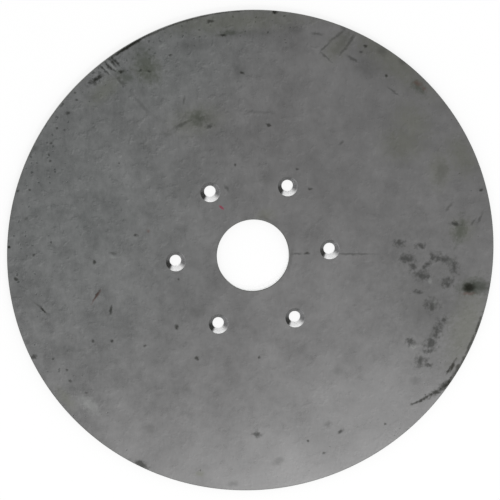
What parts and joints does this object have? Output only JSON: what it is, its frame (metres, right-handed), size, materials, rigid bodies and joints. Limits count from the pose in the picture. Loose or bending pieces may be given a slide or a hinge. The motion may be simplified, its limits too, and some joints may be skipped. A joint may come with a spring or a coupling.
{
  "type": "seed drill disc",
  "caption": "Flat round steel opener disc for a seed drill, with a large centre bore and a circle of countersunk holes that fix it to its hub.",
  "frame": {"origin": "centre of the disc's rear face, on the axis of its bore", "axes": "+Z along the bore's axis, from the rear face to the countersunk face; +X through the middle of one countersunk hole"},
  "size_m": [0.35, 0.35, 0.005],
  "materials": {
    "disc_steel": "dark satin hardened boron steel, slightly mottled, with bright machined countersinks"
  },
  "bodies": {
    "root": {"opener_disc": "disc_steel"}
  },
  "joints": []
}
